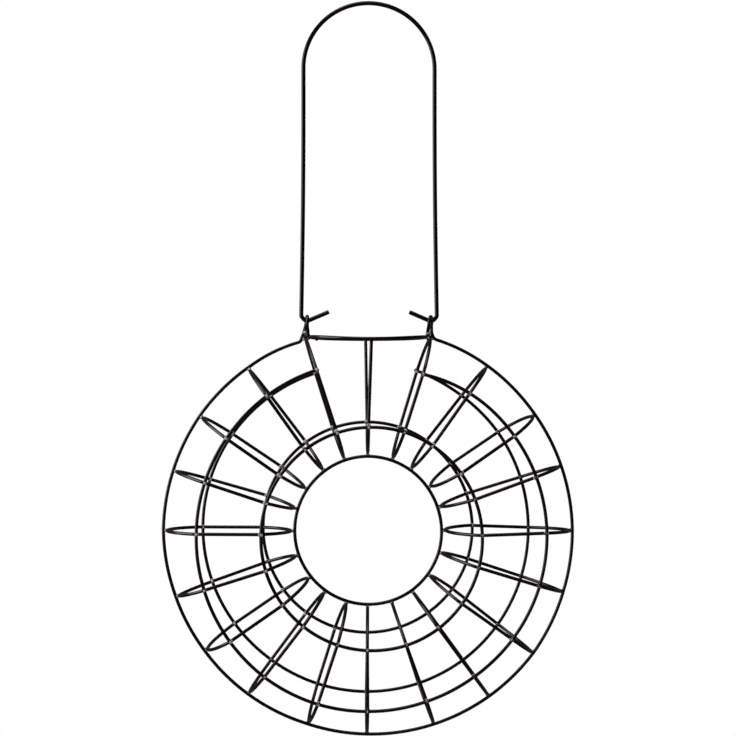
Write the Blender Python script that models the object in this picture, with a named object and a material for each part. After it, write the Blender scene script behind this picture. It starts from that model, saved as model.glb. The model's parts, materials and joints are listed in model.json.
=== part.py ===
"""Ring-shaped wire feeder for suet balls, hung by a long sprung handle.

Metres, +Z up, X to the right, -Y to the front. The origin is the point on the underside of the
handle's arch where a hook or a branch carries the feeder. The cage hangs from the handle by two
eyes and swings about the line through both of them.
"""
from math import asin, atan2, cos, degrees, pi, radians, sin, tan

import bpy
from mathutils import Vector

# Wires and clearances
CAGE_WIRE_RADIUS = 0.0009
HANDLE_WIRE_RADIUS = 0.00115
WELD_GAP = 0.0003
LOOP_GAP = 0.0004
SWING_GAP = 0.00015
EYE_ROOM = 0.0011
HOOK_ROOM = 0.00015
EYE_FOOT_GAP = 0.0001
MOUTH_SEAT_SLACK = 0.0003

# Rings, all round the feeder's centre
OUTER_RING_RADIUS = 0.1091
INNER_RING_RADIUS = 0.0395
OUTER_SIDE_RING_RADIUS = 0.0901
INNER_SIDE_RING_RADIUS = 0.0575

# Half the hoops' depth where each pair of side rings lies on them
HOOP_OUTER_HALF_DEPTH = 0.0288
HOOP_INNER_HALF_DEPTH = 0.0270

# How far the right ends of the two outer side rings wander in and out towards the mouth
OUTER_FRONT_RING_END_DROOP = 0.0021
OUTER_BACK_RING_END_RISE = 0.0016

# How far the cage hangs to the left of the handle's middle
CAGE_SHIFT = 0.0007

# How far the outer ring's two ends droop, the front of the mouth ring sags, and the tip of the
# mouth ring's inner end is bent down
OUTER_RING_LEFT_DROOP = 0.0022
OUTER_RING_RIGHT_DROOP = 0.0009
MOUTH_FRONT_SAG = 0.0020
MOUTH_LAP_TIP_DROP = 0.0012

# Handle
HANDLE_LENGTH = 0.17065
HINGE_RISE = 0.1118
ARCH_RADIUS = 0.0352
LEG_BOW = 0.0004
TAIL_REACH = 0.0113

# Counts and angles
HOOP_COUNT = 20
TOP_ANGLE = 90.0
HOOP_PITCH = 360.0 / HOOP_COUNT
MOUTH_SEAT_ANGLE = 33.7
HOOK_BEND_ANGLE = 50.0
TAIL_ANGLE = 23.3
SIDE_RING_OVERRUN_ANGLE = 0.4
OUTER_RING_DROOP_SWEEP = 20.0
SIDE_RING_DROOP_SWEEP = 28.0
EYE_FOOT_BEND_SWEEP = 0.6
EYE_TURN_ANGLE = 6.0
MOUTH_LAP_TIP_ANGLE = 199.0
MOUTH_LAP_BEND_ANGLE = 195.5
MOUTH_LAP_END_ANGLE = 192.0
MOUTH_LAP_START_ANGLE = 183.0
MOUTH_RING_END_ANGLE = -167.0
TUBE_RESOLUTION = 2

# An eye's two strands keep this share of their side step where the eye is widest
EYE_LOOP_SHARE = 0.6

# Each closed hoop, clockwise from the mouth's right side: how far its inner and its outer end
# are set off their station, and how far it leans at the inner and at the outer side rings, in
# degrees. Positive is anticlockwise from the front, and a positive lean takes the front wire so.
HOOP_SETS_AND_LEANS = (
    (-1.1, 0.0, 0.6, 0.4),
    (0.9, -0.1, 0.2, 2.0),
    (-1.0, -1.4, -2.5, -1.5),
    (0.0, 0.3, 0.5, 2.5),
    (-0.1, -0.1, -1.1, 1.5),
    (0.7, 0.5, 0.6, 1.5),
    (-0.3, -0.5, -1.5, 0.2),
    (0.2, 0.2, -0.1, 0.2),
    (0.5, 0.8, -1.0, 0.1),
    (-0.2, -0.3, -2.7, -1.9),
    (1.5, 0.6, 0.2, -0.5),
    (0.8, -0.5, -1.7, -2.4),
    (2.7, 0.0, 1.2, 1.0),
    (1.3, 0.7, -0.7, -2.2),
    (0.0, -0.3, -0.5, -0.8),
    (0.7, 0.7, 0.7, -1.0),
    (1.7, 1.6, 2.4, 1.5),
    (0.4, 0.4, 2.4, 1.2),
    (0.4, 0.0, -0.5, -0.1),
)
MOUTH_HOOP_SET_AND_LEANS = (0.1, -0.2, 1.7, -0.5)

# How far each ring wanders outwards where it crosses each hoop, in the same order, and last at
# the mouth
RING_WANDERS = {
    "outer_ring": (
        0.0, -0.0003, -0.0002, 0.0002, 0.0006, 0.0007, 0.0011, 0.0005, -0.0003, -0.0012,
        -0.0020, -0.0020, -0.0020, -0.0016, -0.0007, -0.0009, -0.0009, -0.0014, 0.0, 0.0),
    "inner_ring": (
        -0.0001, -0.0002, -0.0003, -0.0003, -0.0001, 0.0001, 0.0001, 0.0001, -0.0001, -0.0003,
        -0.0005, -0.0006, -0.0007, -0.0006, -0.0006, -0.0005, -0.0004, -0.0003, -0.0001, 0.0),
    "outer_front_ring": (
        -0.0011, -0.0007, -0.0001, 0.0006, 0.0010, 0.0010, 0.0006, 0.0, -0.0003, -0.0002,
        0.0001, 0.0001, -0.0003, -0.0007, -0.0010, -0.0010, -0.0010, -0.0009, -0.0008, -0.0010),
    "outer_back_ring": (
        -0.0012, -0.0006, -0.0001, 0.0001, 0.0004, 0.0009, 0.0014, 0.0017, 0.0015, 0.0010,
        0.0003, -0.0004, -0.0007, -0.0007, -0.0007, -0.0008, -0.0010, -0.0012, -0.0013, -0.0013),
    "inner_front_ring": (
        -0.0018, -0.0015, -0.0010, -0.0004, 0.0003, 0.0011, 0.0017, 0.0021, 0.0021, 0.0017,
        0.0012, 0.0005, -0.0002, -0.0008, -0.0013, -0.0016, -0.0020, -0.0022, -0.0022, -0.0021),
    "inner_back_ring": (
        0.0002, 0.0004, 0.0006, 0.0011, 0.0016, 0.0018, 0.0017, 0.0014, 0.0012, 0.0008,
        0.0003, -0.0003, -0.0007, -0.0010, -0.0012, -0.0011, -0.0010, -0.0008, -0.0005, -0.0001),
}

# Sizes that follow from those above
SEAT = 2 * CAGE_WIRE_RADIUS + WELD_GAP
HOOP_OUTER_TIP = OUTER_RING_RADIUS - SEAT
HOOP_INNER_TIP = INNER_RING_RADIUS + SEAT
OUTER_SIDE_RING_DEPTH = HOOP_OUTER_HALF_DEPTH + SEAT
INNER_SIDE_RING_DEPTH = HOOP_INNER_HALF_DEPTH + SEAT
HINGE_Z = HANDLE_WIRE_RADIUS - HANDLE_LENGTH
CENTRE_Z = HINGE_Z - HINGE_RISE
CENTRE_X = -CAGE_SHIFT
ARCH_CENTRE_Z = HANDLE_WIRE_RADIUS - ARCH_RADIUS
MOUTH_TIP_X = HOOP_OUTER_TIP * sin(radians(HOOP_PITCH))
MOUTH_TIP_RISE = HOOP_OUTER_TIP * cos(radians(HOOP_PITCH))
MOUTH_RING_RADIUS = MOUTH_TIP_X - (SEAT + MOUTH_SEAT_SLACK) * cos(radians(MOUTH_SEAT_ANGLE))
MOUTH_RING_RISE = MOUTH_TIP_RISE + (SEAT + MOUTH_SEAT_SLACK) * sin(radians(MOUTH_SEAT_ANGLE))
EYE_RADIUS = CAGE_WIRE_RADIUS + HANDLE_WIRE_RADIUS + EYE_ROOM
EYE_NECK_DROP = 2 * EYE_RADIUS
EYE_SIDE_STEP = CAGE_WIRE_RADIUS + LOOP_GAP / 2
EYE_LOOP_SIDE_STEP = EYE_SIDE_STEP * EYE_LOOP_SHARE
EYE_LOOP_SIDE_REACH = EYE_LOOP_SIDE_STEP + EYE_RADIUS * sin(radians(EYE_TURN_ANGLE))
EYE_APEX_RISE = HANDLE_WIRE_RADIUS + CAGE_WIRE_RADIUS + WELD_GAP
HOOK_RADIUS = EYE_APEX_RISE + HOOK_ROOM
LEG_SIDE_STEP = EYE_LOOP_SIDE_REACH + CAGE_WIRE_RADIUS + HANDLE_WIRE_RADIUS + SWING_GAP


def clear_scene():
    """Remove whatever the scene starts with."""
    for leftover in list(bpy.data.objects):
        bpy.data.objects.remove(leftover, do_unlink=True)


def coat(name, colour, roughness):
    """Gloss powder coat on steel."""
    material = bpy.data.materials.new(name)
    material.use_nodes = True
    shader = material.node_tree.nodes["Principled BSDF"]
    shader.inputs["Base Color"].default_value = (*colour, 1.0)
    shader.inputs["Roughness"].default_value = roughness
    shader.inputs["Metallic"].default_value = 0.0
    return material


def wire(name, points, wire_radius, closed, parent=None):
    """A round wire along the points, which are in world metres."""
    base = parent.location if parent else Vector()
    data = bpy.data.curves.new(name, "CURVE")
    data.dimensions = "3D"
    data.bevel_depth = wire_radius
    data.bevel_resolution = TUBE_RESOLUTION
    data.use_fill_caps = True
    spline = data.splines.new("POLY")
    spline.points.add(len(points) - 1)
    for spline_point, point in zip(spline.points, points):
        spline_point.co = (*(Vector(point) - base), 1.0)
    spline.use_cyclic_u = closed
    piece = bpy.data.objects.new(name, data)
    bpy.context.scene.collection.objects.link(piece)
    piece.parent = parent
    data.materials.append(coat(name + "_coat", (0.018, 0.014, 0.013), 0.28))
    return piece


def round_centre(radius, angle, depth):
    """The world point at this radius and angle round the feeder's centre."""
    return Vector((CENTRE_X + radius * cos(radians(angle)), depth,
                   CENTRE_Z + radius * sin(radians(angle))))


def end_bow(tip, side_radius, half_depth, steps):
    """Points (radius, depth) of the bow through the tip and both ends, from front to back."""
    run = tip - side_radius
    bow_radius = (run * run + half_depth * half_depth) / (2 * abs(run))
    outwards = 1 if run > 0 else -1
    bow_centre = tip - outwards * bow_radius
    half_sweep = atan2(half_depth, outwards * (side_radius - bow_centre))
    turns = [half_sweep * (2 * step / steps - 1) for step in range(steps + 1)]
    return [(bow_centre + outwards * bow_radius * cos(turn), bow_radius * sin(turn)) for turn in turns]


def between(low, high, value):
    """The share of the way from low to high, kept from 0 to 1."""
    return min(max((value - low) / (high - low), 0.0), 1.0)


def wander(ring, angle):
    """How far outwards a ring has wandered at this angle, running straight from hoop to hoop."""
    place = (TOP_ANGLE - HOOP_PITCH - angle) % 360 / HOOP_PITCH
    index = int(place)
    start, end = RING_WANDERS[ring][index], RING_WANDERS[ring][(index + 1) % HOOP_COUNT]
    return start + (end - start) * (place - index)


def inner_bow(angle):
    """The bowed end that a hoop has next to the centre hole at this angle."""
    tip = HOOP_INNER_TIP + wander("inner_ring", angle)
    return end_bow(tip, INNER_SIDE_RING_RADIUS, HOOP_INNER_HALF_DEPTH, 8)


def leaned(radius, depth, station, set_inner, set_outer, lean_inner, lean_outer):
    """The world point of a hoop whose front and back wires lean apart round the centre."""
    set_share = between(HOOP_INNER_TIP, HOOP_OUTER_TIP, radius)
    lean_share = between(INNER_SIDE_RING_RADIUS, OUTER_SIDE_RING_RADIUS, radius)
    angle = station + set_inner + (set_outer - set_inner) * set_share
    lean = lean_inner + (lean_outer - lean_inner) * lean_share
    across = Vector((-sin(radians(angle)), 0, cos(radians(angle))))
    return round_centre(radius, angle, depth) - depth * tan(radians(lean)) * across


def add_hoops(cage):
    """The closed hoops round the tube, from the mouth's right side round to its left side."""
    for index, sets_and_leans in enumerate(HOOP_SETS_AND_LEANS, start=1):
        station = TOP_ANGLE - index * HOOP_PITCH
        set_inner, set_outer = sets_and_leans[:2]
        tip = HOOP_OUTER_TIP + wander("outer_ring", station + set_outer)
        section = end_bow(tip, OUTER_SIDE_RING_RADIUS, HOOP_OUTER_HALF_DEPTH, 8)
        section += reversed(inner_bow(station + set_inner))
        points = [leaned(radius, depth, station, *sets_and_leans) for radius, depth in section]
        wire(f"hoop_{index:02d}", points, CAGE_WIRE_RADIUS, True, cage)


def add_mouth_hoop(cage):
    """The hoop under the mouth: open at the top, with its two tips inside the mouth ring."""
    tip_depth = MOUTH_RING_RADIUS - SEAT
    front_tip = (MOUTH_RING_RISE - MOUTH_FRONT_SAG, -tip_depth)
    back_tip = (MOUTH_RING_RISE, tip_depth)
    points = [leaned(radius, depth, TOP_ANGLE, *MOUTH_HOOP_SET_AND_LEANS)
              for radius, depth in [front_tip, *inner_bow(TOP_ANGLE), back_tip]]
    wire("mouth_hoop", points, CAGE_WIRE_RADIUS, False, cage)


def end_droop(angle, start, end, right_droop, left_droop, sweep):
    """How far the arc that runs clockwise from start to end droops inwards at this angle."""
    right_share = 1 - between(0.0, sweep, start - angle)
    left_share = 1 - between(0.0, sweep, angle - end)
    return right_droop * right_share ** 2 + left_droop * left_share ** 2


def add_outer_side_rings(cage):
    """The two rings that lie on the hoops' sides near the outside, open at the mouth."""
    start = TOP_ANGLE - HOOP_PITCH + SIDE_RING_OVERRUN_ANGLE
    end = TOP_ANGLE - 360 + HOOP_PITCH - SIDE_RING_OVERRUN_ANGLE
    for name, depth, right_droop in (
            ("outer_front_ring", -OUTER_SIDE_RING_DEPTH, OUTER_FRONT_RING_END_DROOP),
            ("outer_back_ring", OUTER_SIDE_RING_DEPTH, -OUTER_BACK_RING_END_RISE)):
        points = []
        steps = 54
        for step in range(steps + 1):
            angle = start + (end - start) * step / steps
            droop = end_droop(angle, start, end, right_droop, 0.0, SIDE_RING_DROOP_SWEEP)
            points.append(round_centre(OUTER_SIDE_RING_RADIUS + wander(name, angle) - droop, angle, depth))
        wire(name, points, CAGE_WIRE_RADIUS, False, cage)


def add_closed_rings(cage):
    """The rings that close on themselves: two on the sides, and one round the centre hole."""
    for name, radius, depth, steps in (
            ("inner_front_ring", INNER_SIDE_RING_RADIUS, -INNER_SIDE_RING_DEPTH, 48),
            ("inner_back_ring", INNER_SIDE_RING_RADIUS, INNER_SIDE_RING_DEPTH, 48),
            ("inner_ring", INNER_RING_RADIUS, 0.0, 40)):
        angles = [TOP_ANGLE - 360 * step / steps for step in range(steps)]
        points = [round_centre(radius + wander(name, angle), angle, depth) for angle in angles]
        wire(name, points, CAGE_WIRE_RADIUS, True, cage)


def eye_lean(rise):
    """How far an eye leans with the cage to the side at this rise above the hinge."""
    return CENTRE_X * between(EYE_APEX_RISE, -EYE_NECK_DROP, rise)


def eye_points(side):
    """One end of the outer ring, from its foot beside the hoop to its cut end on the mouth ring."""
    loop_centre = EYE_APEX_RISE - EYE_RADIUS
    tangent_angle = asin(EYE_RADIUS / (loop_centre + EYE_NECK_DROP))
    foot = Vector((CENTRE_X + side * (MOUTH_TIP_X + SEAT + EYE_FOOT_GAP), 0.0,
                   CENTRE_Z + MOUTH_TIP_RISE + CAGE_WIRE_RADIUS))
    cut_rise = CENTRE_Z + MOUTH_RING_RISE + CAGE_WIRE_RADIUS + LOOP_GAP - HINGE_Z
    local = [(EYE_SIDE_STEP, 0.0, -EYE_NECK_DROP)]
    steps = 12
    for step in range(steps + 1):
        turn = -tangent_angle + (pi + 2 * tangent_angle) * step / steps
        side_step = EYE_LOOP_SIDE_STEP * cos(min(max(turn, 0.0), pi))
        local.append((side_step, EYE_RADIUS * cos(turn), loop_centre + EYE_RADIUS * sin(turn)))
    local.append((-EYE_SIDE_STEP, 0.0, -EYE_NECK_DROP))
    local.append((-EYE_SIDE_STEP, 0.0, cut_rise))
    turned = radians(EYE_TURN_ANGLE)
    return [foot] + [Vector((side * (MOUTH_TIP_X + x) + y * sin(turned) + eye_lean(z), y * cos(turned),
                             HINGE_Z + z)) for x, y, z in local]


def add_outer_ring(cage):
    """The ring round the outside, one wire whose two ends are bent up into the eyes."""
    start = degrees(atan2(MOUTH_TIP_RISE, MOUTH_TIP_X + SEAT + EYE_FOOT_GAP)) - EYE_FOOT_BEND_SWEEP
    end = -180 - start
    points = list(reversed(eye_points(1)))
    steps = 64
    for step in range(steps + 1):
        angle = start + (end - start) * step / steps
        droop = end_droop(angle, start, end, OUTER_RING_RIGHT_DROOP, OUTER_RING_LEFT_DROOP,
                          OUTER_RING_DROOP_SWEEP)
        radius = OUTER_RING_RADIUS + wander("outer_ring", angle) - droop
        points.append(round_centre(radius, angle, 0.0))
    points += eye_points(-1)
    wire("outer_ring", points, CAGE_WIRE_RADIUS, False, cage)


def add_mouth_ring(cage):
    """The round rim of the mouth, one wire whose two ends lie side by side at the left."""
    steps = 56
    angles = [MOUTH_LAP_TIP_ANGLE, MOUTH_LAP_BEND_ANGLE, MOUTH_LAP_END_ANGLE]
    angles += [MOUTH_LAP_START_ANGLE + (MOUTH_RING_END_ANGLE - MOUTH_LAP_START_ANGLE) * step / steps
               for step in range(steps + 1)]
    points = []
    for angle in angles:
        lap_share = between(MOUTH_LAP_START_ANGLE, MOUTH_LAP_END_ANGLE, angle)
        tip_share = between(MOUTH_LAP_BEND_ANGLE, MOUTH_LAP_TIP_ANGLE, angle)
        front_share = max(0.0, -sin(radians(angle))) ** 2
        radius = MOUTH_RING_RADIUS - SEAT * lap_share
        rise = MOUTH_RING_RISE - MOUTH_LAP_TIP_DROP * tip_share - MOUTH_FRONT_SAG * front_share
        points.append(Vector((CENTRE_X + radius * cos(radians(angle)), radius * sin(radians(angle)),
                              CENTRE_Z + rise)))
    wire("mouth_ring", points, CAGE_WIRE_RADIUS, False, cage)


def handle_side_points(side):
    """One leg with its hook and tail, from the arch down."""
    bend_x = HOOK_RADIUS * sin(radians(HOOK_BEND_ANGLE))
    bend_z = HOOK_RADIUS * (1 - cos(radians(HOOK_BEND_ANGLE)))
    corner_x = MOUTH_TIP_X + LEG_SIDE_STEP
    corner_z = HINGE_Z + bend_z + (LEG_SIDE_STEP - bend_x) * tan(radians(HOOK_BEND_ANGLE))
    leg = []
    steps = 8
    for step in range(1, steps + 1):
        way = step / steps
        leg_x = ARCH_RADIUS + (corner_x - ARCH_RADIUS) * way - LEG_BOW * sin(pi * way)
        leg.append((leg_x, ARCH_CENTRE_Z + (corner_z - ARCH_CENTRE_Z) * way))
    hook = []
    steps = 6
    for step in range(steps + 1):
        turn = HOOK_BEND_ANGLE - (HOOK_BEND_ANGLE + TAIL_ANGLE) * step / steps
        hook.append((HOOK_RADIUS * sin(radians(turn)), HOOK_RADIUS * (1 - cos(radians(turn)))))
    hook_x, hook_z = hook[-1]
    hook.append((-TAIL_REACH, hook_z + (TAIL_REACH + hook_x) * tan(radians(TAIL_ANGLE))))
    points = leg + [(MOUTH_TIP_X + x, HINGE_Z + z) for x, z in hook]
    return [Vector((side * x, 0.0, z)) for x, z in points]


def add_handle():
    """The long inverted U with a hook at each foot, in one wire."""
    steps = 18
    arch = [Vector((ARCH_RADIUS * cos(pi * step / steps), 0.0,
                    ARCH_CENTRE_Z + ARCH_RADIUS * sin(pi * step / steps))) for step in range(steps + 1)]
    points = list(reversed(handle_side_points(1))) + arch + handle_side_points(-1)
    wire("handle", points, HANDLE_WIRE_RADIUS, False)


def main():
    clear_scene()
    add_handle()
    cage = bpy.data.objects.new("cage_pivot", None)
    cage.location = (0.0, 0.0, HINGE_Z)
    bpy.context.scene.collection.objects.link(cage)
    add_outer_ring(cage)
    add_outer_side_rings(cage)
    add_closed_rings(cage)
    add_hoops(cage)
    add_mouth_hoop(cage)
    add_mouth_ring(cage)


main()
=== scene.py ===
"""Wire suet feeder: the coated wires, their welds and the studio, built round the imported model.

Metres, +Z up, X to the right, -Y to the front. The origin is the point under the handle's arch by
which the feeder hangs.
"""

import json
from math import asin, atan2, cos, degrees, pi, radians, sin, tan
from random import Random

import bpy
import bmesh
from bpy.props import FloatProperty, FloatVectorProperty, IntProperty, PointerProperty
from bpy.types import Operator, Panel, PropertyGroup
from mathutils import Matrix, Vector
from mathutils.geometry import intersect_line_line
from mathutils.kdtree import KDTree


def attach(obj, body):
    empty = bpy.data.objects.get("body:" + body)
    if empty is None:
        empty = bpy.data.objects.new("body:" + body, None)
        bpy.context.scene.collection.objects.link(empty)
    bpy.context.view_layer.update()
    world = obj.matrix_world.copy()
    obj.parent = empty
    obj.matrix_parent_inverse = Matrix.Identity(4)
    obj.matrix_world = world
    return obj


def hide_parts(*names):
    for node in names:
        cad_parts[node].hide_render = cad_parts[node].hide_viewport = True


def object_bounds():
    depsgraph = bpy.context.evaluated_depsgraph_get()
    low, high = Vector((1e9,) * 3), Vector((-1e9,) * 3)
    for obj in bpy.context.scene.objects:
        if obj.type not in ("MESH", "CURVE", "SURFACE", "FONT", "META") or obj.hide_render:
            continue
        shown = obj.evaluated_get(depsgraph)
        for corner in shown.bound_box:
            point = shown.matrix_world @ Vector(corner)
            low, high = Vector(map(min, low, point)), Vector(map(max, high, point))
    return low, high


bl_info = {
    "name": "Wire suet feeder",
    "version": (1, 0, 0),
    "blender": (4, 5, 0),
    "location": "3D View > Sidebar > Feeder",
    "description": "Builds a ring-shaped wire feeder for suet balls, with its welds and its studio",
    "category": "Add Mesh",
}

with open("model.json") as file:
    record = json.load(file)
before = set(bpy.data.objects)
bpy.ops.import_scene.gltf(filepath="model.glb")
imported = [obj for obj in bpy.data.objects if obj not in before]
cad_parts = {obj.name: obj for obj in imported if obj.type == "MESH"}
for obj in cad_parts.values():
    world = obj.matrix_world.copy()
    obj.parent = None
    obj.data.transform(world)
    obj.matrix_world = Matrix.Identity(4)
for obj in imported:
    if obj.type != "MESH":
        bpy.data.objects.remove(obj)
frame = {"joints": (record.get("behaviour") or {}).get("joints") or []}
CAD_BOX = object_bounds()
HINGE_Z = frame["joints"][0]["pos_m"][2]

# Each closed hoop, clockwise from the mouth's right side: how far its inner and its outer end are
# set off their station, and how far it leans at the inner and at the outer side rings, in degrees
HOOP_SETS_AND_LEANS = (
    (-1.1, 0.0, 0.6, 0.4),
    (0.9, -0.1, 0.2, 2.0),
    (-1.0, -1.4, -2.5, -1.5),
    (0.0, 0.3, 0.5, 2.5),
    (-0.1, -0.1, -1.1, 1.5),
    (0.7, 0.5, 0.6, 1.5),
    (-0.3, -0.5, -1.5, 0.2),
    (0.2, 0.2, -0.1, 0.2),
    (0.5, 0.8, -1.0, 0.1),
    (-0.2, -0.3, -2.7, -1.9),
    (1.5, 0.6, 0.2, -0.5),
    (0.8, -0.5, -1.7, -2.4),
    (2.7, 0.0, 1.2, 1.0),
    (1.3, 0.7, -0.7, -2.2),
    (0.0, -0.3, -0.5, -0.8),
    (0.7, 0.7, 0.7, -1.0),
    (1.7, 1.6, 2.4, 1.5),
    (0.4, 0.4, 2.4, 1.2),
    (0.4, 0.0, -0.5, -0.1),
)
MOUTH_HOOP_SET_AND_LEANS = (0.1, -0.2, 1.7, -0.5)
HOOP_NAMES = [f"hoop_{number:02d}" for number in range(1, len(HOOP_SETS_AND_LEANS) + 1)]

# How far each ring wanders outwards where it crosses each hoop, in tenths of a millimetre, in the
# same order, and last at the mouth
TENTH_MM = 0.0001
RING_WANDERS = {
    "outer_ring": (0, -3, -2, 2, 6, 7, 11, 5, -3, -12, -20, -20, -20, -16, -7, -9, -9, -14, 0, 0),
    "inner_ring": (-1, -2, -3, -3, -1, 1, 1, 1, -1, -3, -5, -6, -7, -6, -6, -5, -4, -3, -1, 0),
    "outer_front_ring": (-11, -7, -1, 6, 10, 10, 6, 0, -3, -2, 1, 1, -3, -7, -10, -10, -10, -9, -8, -10),
    "outer_back_ring": (-12, -6, -1, 1, 4, 9, 14, 17, 15, 10, 3, -4, -7, -7, -7, -8, -10, -12, -13, -13),
    "inner_front_ring": (
        -18, -15, -10, -4, 3, 11, 17, 21, 21, 17, 12, 5, -2, -8, -13, -16, -20, -22, -22, -21),
    "inner_back_ring": (2, 4, 6, 11, 16, 18, 17, 14, 12, 8, 3, -3, -7, -10, -12, -11, -10, -8, -5, -1),
}

# The side rings: which side of the tube each lies on
OUTER_SIDE_RINGS = {"outer_front_ring": -1, "outer_back_ring": 1}
INNER_SIDE_RINGS = {"inner_front_ring": -1, "inner_back_ring": 1}

# How far the right ends of the two outer side rings droop inwards towards the mouth
END_DROOPS = {"outer_front_ring": 0.0021, "outer_back_ring": -0.0016}

# Angles round the feeder and in its bends, in degrees
TOP_ANGLE = 90.0
HOOP_PITCH = 18.0
MOUTH_SEAT_ANGLE = 33.7
HOOK_BEND_ANGLE = 50.0
TAIL_ANGLE = 23.3
SIDE_RING_OVERRUN_ANGLE = 0.4
OUTER_RING_DROOP_SWEEP = 20.0
SIDE_RING_DROOP_SWEEP = 28.0
EYE_FOOT_BEND_SWEEP = 0.6
EYE_TURN_ANGLE = 6.0
MOUTH_LAP_TIP_ANGLE = 199.0
MOUTH_LAP_BEND_ANGLE = 195.5
MOUTH_LAP_END_ANGLE = 192.0
MOUTH_LAP_START_ANGLE = 183.0
MOUTH_RING_END_ANGLE = -167.0
SHARP_TURN_ANGLE = 9.0

# Steps along the routes
ARCH_STEPS, LEG_STEPS, HOOK_STEPS, EYE_STEPS, BEND_STEPS = 64, 32, 14, 26, 6
OUTER_RING_STEPS, INNER_RING_STEPS, OUTER_SIDE_STEPS, INNER_SIDE_STEPS = 200, 128, 170, 144
OUTER_BOW_STEPS, INNER_BOW_STEPS, MOUTH_RING_STEPS, MOUTH_LAP_STEPS = 22, 18, 112, 12

# A bend takes up no more than this share of the stretches beside it
BEND_ROOM_SHARE = 0.45

# Where welds are looked for: the points' spacing, and how many of them make a wire's tip
FINE_STEP, TIP_POINTS = 0.002, 3

# Two wires lie side by side rather than across each other above this cosine of their angle
SIDE_BY_SIDE_SHARE = 0.9

# How many segments and rings a bead and a mark have
BEAD_MESH, MARK_MESH = (16, 10), (12, 6)

# The size of the beads at the mouth hoop's tips, as a share of the others'
TIP_BEAD_SHARE = 0.65

# An eye's two strands keep this share of their side step where the eye is widest
EYE_LOOP_SHARE = 0.6

# A cut wire end under its coat: each step's width and advance, as shares of the wire's radius
CUT_END_SHARES = ((0.97, 0.10), (0.88, 0.10), (0.72, 0.06))

# The coat's noises: where each starts and ends as a mask, and shares that they are mixed by. The patch mask
# and the upper-left share place painted highlights on the welds
CLOUD_LIMITS, FLECK_LIMITS, WEAR_LIMITS, HIGHLIGHT_PATCH_LIMITS = (0.38, 0.66), (0.74, 0.80), (0.92, 1.22), (0.50, 0.66)
FINE_PEEL_RATIO, FINE_PEEL_SHARE, WEAR_SHARE, UPPER_LEFT_HIGHLIGHT_SHARE = 3.1, 0.22, 0.5, 0.18

# The colour sockets of a Mix node
MIX_FIRST, MIX_SECOND, MIX_RESULT = 6, 7, 2

# The studio: its white, its black, the floor's sides, where the room turns dim in front, and the
# lamps' places from the point that the camera looks at, widths, heights and powers
WHITE, BLACK = (1.0, 1.0, 1.0, 1.0), (0.0, 0.0, 0.0)
FLOOR_SIDES, BACKDROP_LIMITS = 96, (0.0, 0.5)
LAMPS = {
    "side_lamp": ((-1.10, -0.12, 0.25), 1.05, 1.1, 13.0),
    "top_lamp": ((-0.20, -0.15, 1.10), 1.0, 0.7, 5.0),
}


def length(label, about, value):
    """A size that a user may change."""
    return FloatProperty(name=label, description=about, default=value, min=0.0, soft_max=1.0,
                         precision=5, subtype="DISTANCE", unit="LENGTH")


def place(label, about, value):
    """A coordinate that a user may change."""
    return FloatProperty(name=label, description=about, default=value, precision=5,
                         subtype="DISTANCE", unit="LENGTH")


def share(label, about, value):
    """A plain share or strength that a user may change."""
    return FloatProperty(name=label, description=about, default=value, min=0.0, soft_max=1.0)


def colour(label, about, value):
    """A colour that a user may change."""
    return FloatVectorProperty(name=label, description=about, default=value, size=3, min=0.0, max=1.0,
                               subtype="COLOR")


class CageSizes(PropertyGroup):
    """Sizes of the ring-shaped cage, its mouth and its eyes."""
    wire_radius: length("Wire radius", "Half the thickness of the cage's wires, coat included", 0.0009)
    weld_gap: length("Weld gap", "Space between two welded wires, which a bead fills", 0.0003)
    loop_gap: length("Loop gap", "Space between two strands that lie side by side", 0.0004)
    centre_x: place("Centre, right", "The ring's centre, to the right of the hanging point", -0.0007)
    centre_z: place("Centre, up", "The ring's centre, above the hanging point", HINGE_Z - 0.1118)
    outer_radius: length("Outer ring", "Radius of the ring round the outside", 0.1091)
    inner_radius: length("Inner ring", "Radius of the ring round the centre hole", 0.0395)
    outer_side_radius: length("Outer side rings", "Radius of the two rings near the outside", 0.0901)
    inner_side_radius: length("Inner side rings", "Radius of the two rings near the centre", 0.0575)
    outer_half_depth: length("Outer half depth", "Half the hoops' depth at the outer side rings", 0.0288)
    inner_half_depth: length("Inner half depth", "Half the hoops' depth at the inner side rings", 0.0270)
    hoop_bend: length("Hoop bend", "Radius of the bend between a hoop's side and its bowed end", 0.0080)
    left_droop: length("Left droop", "How far the outer ring's left end droops", 0.0022)
    right_droop: length("Right droop", "How far the outer ring's right end droops", 0.0009)
    mouth_slack: length("Mouth slack", "Play between the mouth ring and the two hoops it sits on", 0.0003)
    mouth_sag: length("Mouth sag", "How far the front of the mouth ring sags", 0.0020)
    lap_tip_drop: length("Lap tip drop", "How far the tip of the mouth ring's inner end bends down", 0.0015)
    eye_room: length("Eye room", "Room round the handle's wire in an eye", 0.0011)
    eye_foot_gap: length("Eye foot gap", "Extra space between an eye's foot and the hoop", 0.0001)
    eye_bend: length("Eye bend", "Radius of the bends at an eye's neck and foot", 0.0024)
    wire_sides: IntProperty(name="Wire sides", description="Faces round each wire", default=16, min=8)


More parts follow.
